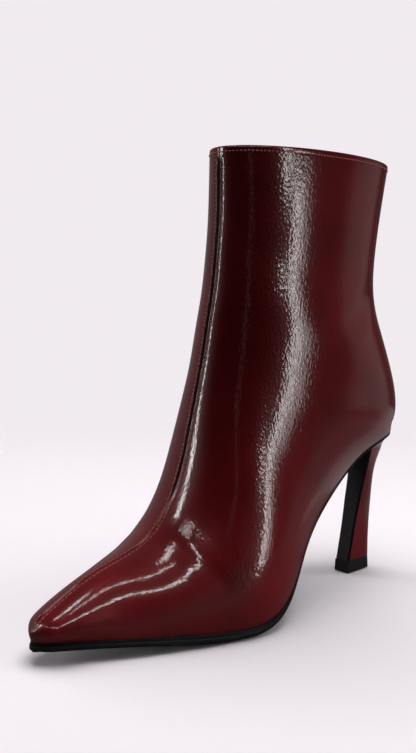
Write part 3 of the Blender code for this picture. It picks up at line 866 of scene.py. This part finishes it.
def add_light(name, azimuth, elevation, distance, wide, tall, watts, aim=LIGHT_AIM, spread=math.pi):
    """Soft box in a direction from the place that it aims at."""
    data = bpy.data.lights.new(name, "AREA")
    data.shape = "RECTANGLE"
    data.size, data.size_y = wide, tall
    data.energy = watts
    data.spread = spread
    data.color = LIGHT_TINT
    made = bpy.data.objects.new(name, data)
    turn, lift = math.radians(azimuth), math.radians(elevation)
    way = Vector((math.cos(turn) * math.cos(lift), math.sin(turn) * math.cos(lift), math.sin(lift)))
    place = Vector(aim) + distance * way
    made.matrix_world = Matrix.Translation(place) @ (-way).to_track_quat("-Z", "Y").to_matrix().to_4x4()
    bpy.context.scene.collection.objects.link(made)
    return made


# Patch of bright floor behind the heel, in metres and watts
GLOW_AT = (-0.39, -0.04, 0.004)
GLOW_SIZE = (0.42, 0.22)
GLOW_WATTS = 0.05


def make_floor_glow():
    """Bright floor behind the heel, as the counter's gloss shows it."""
    data = bpy.data.lights.new("floor_glow", "AREA")
    data.shape = "RECTANGLE"
    data.size, data.size_y = GLOW_SIZE
    data.energy = GLOW_WATTS
    made = bpy.data.objects.new("floor_glow", data)
    made.matrix_world = Matrix.Translation(GLOW_AT) @ Matrix.Rotation(math.pi, 4, "X")
    made.visible_diffuse = False
    made.visible_camera = False
    bpy.context.scene.collection.objects.link(made)


# Floor just under the soles: its height, its radius and where it fades out, in metres
FLOOR_Z = -0.0002
FLOOR_RADIUS = 1.6
FADE_START = 0.22
FADE_END = 0.75
FLOOR_SEEN = (0.840, 0.815, 0.857, 1)
FLOOR_LIT = (0.10, 0.09, 0.095, 1)


def make_stage():
    """Round pale floor that fades out into the pale background."""
    mesh = bpy.data.meshes.new("studio_floor")
    count = 96
    angles = [2 * math.pi * k / count for k in range(count)]
    ring = [(FLOOR_RADIUS * math.cos(a), FLOOR_RADIUS * math.sin(a), FLOOR_Z) for a in angles]
    mesh.from_pydata(ring, [], [tuple(range(count))])
    made, tree, shader = new_material("floor_pale")
    nodes, link = tree.nodes, tree.links.new
    shader.inputs["Base Color"].default_value = FLOOR_SEEN
    shader.inputs["Roughness"].default_value = 0.6
    shader.inputs["Specular IOR Level"].default_value = 0.1
    where = nodes.new("ShaderNodeNewGeometry")
    reach = nodes.new("ShaderNodeVectorMath")
    reach.operation = "LENGTH"
    link(where.outputs["Position"], reach.inputs[0])
    fade = nodes.new("ShaderNodeMapRange")
    fade.interpolation_type = "SMOOTHSTEP"
    fade.inputs["From Min"].default_value = FADE_START
    fade.inputs["From Max"].default_value = FADE_END
    link(reach.outputs["Value"], fade.inputs["Value"])
    # Only the eye sees the pale floor, and the boot gets the light of a dimmer one
    dim = nodes.new("ShaderNodeBsdfDiffuse")
    dim.inputs["Color"].default_value = FLOOR_LIT
    path = nodes.new("ShaderNodeLightPath")
    lit = nodes.new("ShaderNodeMixShader")
    link(path.outputs["Is Camera Ray"], lit.inputs["Fac"])
    link(dim.outputs["BSDF"], lit.inputs[1])
    link(shader.outputs["BSDF"], lit.inputs[2])
    clear = nodes.new("ShaderNodeBsdfTransparent")
    mix = nodes.new("ShaderNodeMixShader")
    link(fade.outputs["Result"], mix.inputs["Fac"])
    link(lit.outputs["Shader"], mix.inputs[1])
    link(clear.outputs["BSDF"], mix.inputs[2])
    link(mix.outputs["Shader"], nodes["Material Output"].inputs["Surface"])
    mesh.materials.append(made)
    floor = bpy.data.objects.new("studio_floor", mesh)
    bpy.context.scene.collection.objects.link(floor)


# Way to the palest side of the room, which is the boot's inner side, and the room's colours
ROOM_PALE_SIDE = (-0.035, -0.999, 0.0)
ROOM_DARK = (0.003, 0.003, 0.003)
ROOM_PALE = (0.18, 0.16, 0.165)
BACKGROUND = (0.880, 0.831, 0.868, 1)


def make_world():
    """Pale background for the eye, and for the boot a dark room that is paler on one side."""
    world = bpy.data.worlds.new("studio")
    bpy.context.scene.world = world
    world.use_nodes = True
    nodes, link = world.node_tree.nodes, world.node_tree.links.new
    place = nodes.new("ShaderNodeTexCoord")
    facing = nodes.new("ShaderNodeVectorMath")
    facing.operation = "DOT_PRODUCT"
    facing.inputs[1].default_value = ROOM_PALE_SIDE
    link(place.outputs["Generated"], facing.inputs[0])
    shift = nodes.new("ShaderNodeMath")
    shift.operation = "MULTIPLY_ADD"
    shift.inputs[1].default_value = 0.5
    shift.inputs[2].default_value = 0.5
    link(facing.outputs["Value"], shift.inputs[0])
    ramp = colour_ramp(world.node_tree, ROOM_DARK, ROOM_PALE, 0.55, 0.95)
    link(shift.outputs["Value"], ramp.inputs["Fac"])
    room = nodes["Background"]
    link(ramp.outputs["Color"], room.inputs["Color"])
    seen = nodes.new("ShaderNodeBackground")
    seen.inputs["Color"].default_value = BACKGROUND
    path = nodes.new("ShaderNodeLightPath")
    mix = nodes.new("ShaderNodeMixShader")
    link(path.outputs["Is Camera Ray"], mix.inputs["Fac"])
    link(room.outputs["Background"], mix.inputs[1])
    link(seen.outputs["Background"], mix.inputs[2])
    link(mix.outputs["Shader"], nodes["World Output"].inputs["Surface"])


# Lights that show only in the gloss, by azimuth and elevation in degrees, with distances and sizes in metres
LIGHTS = (
    # name, azimuth, elevation, distance, wide, tall, watts
    ("strip_top", 92.5, 26.3, 1.06, 0.07, 0.46, 1.25),
    ("fade_top", 97.0, 26.3, 1.06, 0.09, 0.46, 0.40),
    ("strip_right", 103.0, 10.3, 0.965, 0.08, 0.19, 0.55),
    ("fade_right", 109.0, 10.3, 0.965, 0.12, 0.19, 0.21),
    ("strip_low", 103.3, -0.6, 0.95, 0.11, 0.18, 0.60),
    ("fade_low", 111.0, -0.6, 0.95, 0.15, 0.18, 0.24),
    ("card_right", 163.0, 2.0, 0.95, 0.55, 0.45, 0.16),
    ("strip_faint", 45.0, 10.0, 0.95, 0.03, 0.50, 0.02),
    ("strip_left", -33.0, 14.0, 0.95, 0.05, 0.62, 2.0),
    ("patch", -24.0, 69.0, 0.95, 0.10, 0.30, 1.1),
    ("bar_left", -11.0, 37.0, 0.95, 0.24, 0.018, 0.22),
    ("bar_middle", 22.0, 42.0, 0.95, 0.42, 0.030, 0.65),
    ("bar_right", 62.0, 48.0, 0.95, 0.48, 0.045, 1.1),
    ("bar_top", 75.0, 77.0, 0.95, 0.60, 0.035, 0.9),
)
# Lights that shade the boot and its floor but don't show in the gloss
SOFT_LIGHTS = (
    # name, azimuth, elevation, distance, wide, tall, watts, and for the last one its aim and spread
    ("overhead", 228.0, 76.0, 1.4, 1.3, 1.3, 15.0),
    ("overhead_right", 100.0, 81.0, 1.4, 1.0, 1.0, 10.0),
    ("fill_right", 145.0, 14.0, 1.4, 0.9, 0.8, 9.0),
    ("fill_left", -72.0, 8.0, 1.4, 0.8, 0.8, 11.0),
    ("fill_floor", 150.0, -13.0, 0.45, 0.40, 0.06, 0.45),
    ("fill_low", 80.0, 6.0, 0.6, 0.26, 0.04, 0.022, (0.035, 0.03, 0.02), math.radians(16)),
)


make_upper()
make_stitches()
make_zip()
make_sole()
make_insole()
make_heel()
make_heel_breast()
make_top_piece()
make_camera()
make_stage()
make_world()
for light in LIGHTS:
    add_light(*light).visible_diffuse = False
for light in SOFT_LIGHTS:
    add_light(*light).visible_glossy = False
make_floor_glow()
bpy.context.scene.view_settings.view_transform = "Standard"
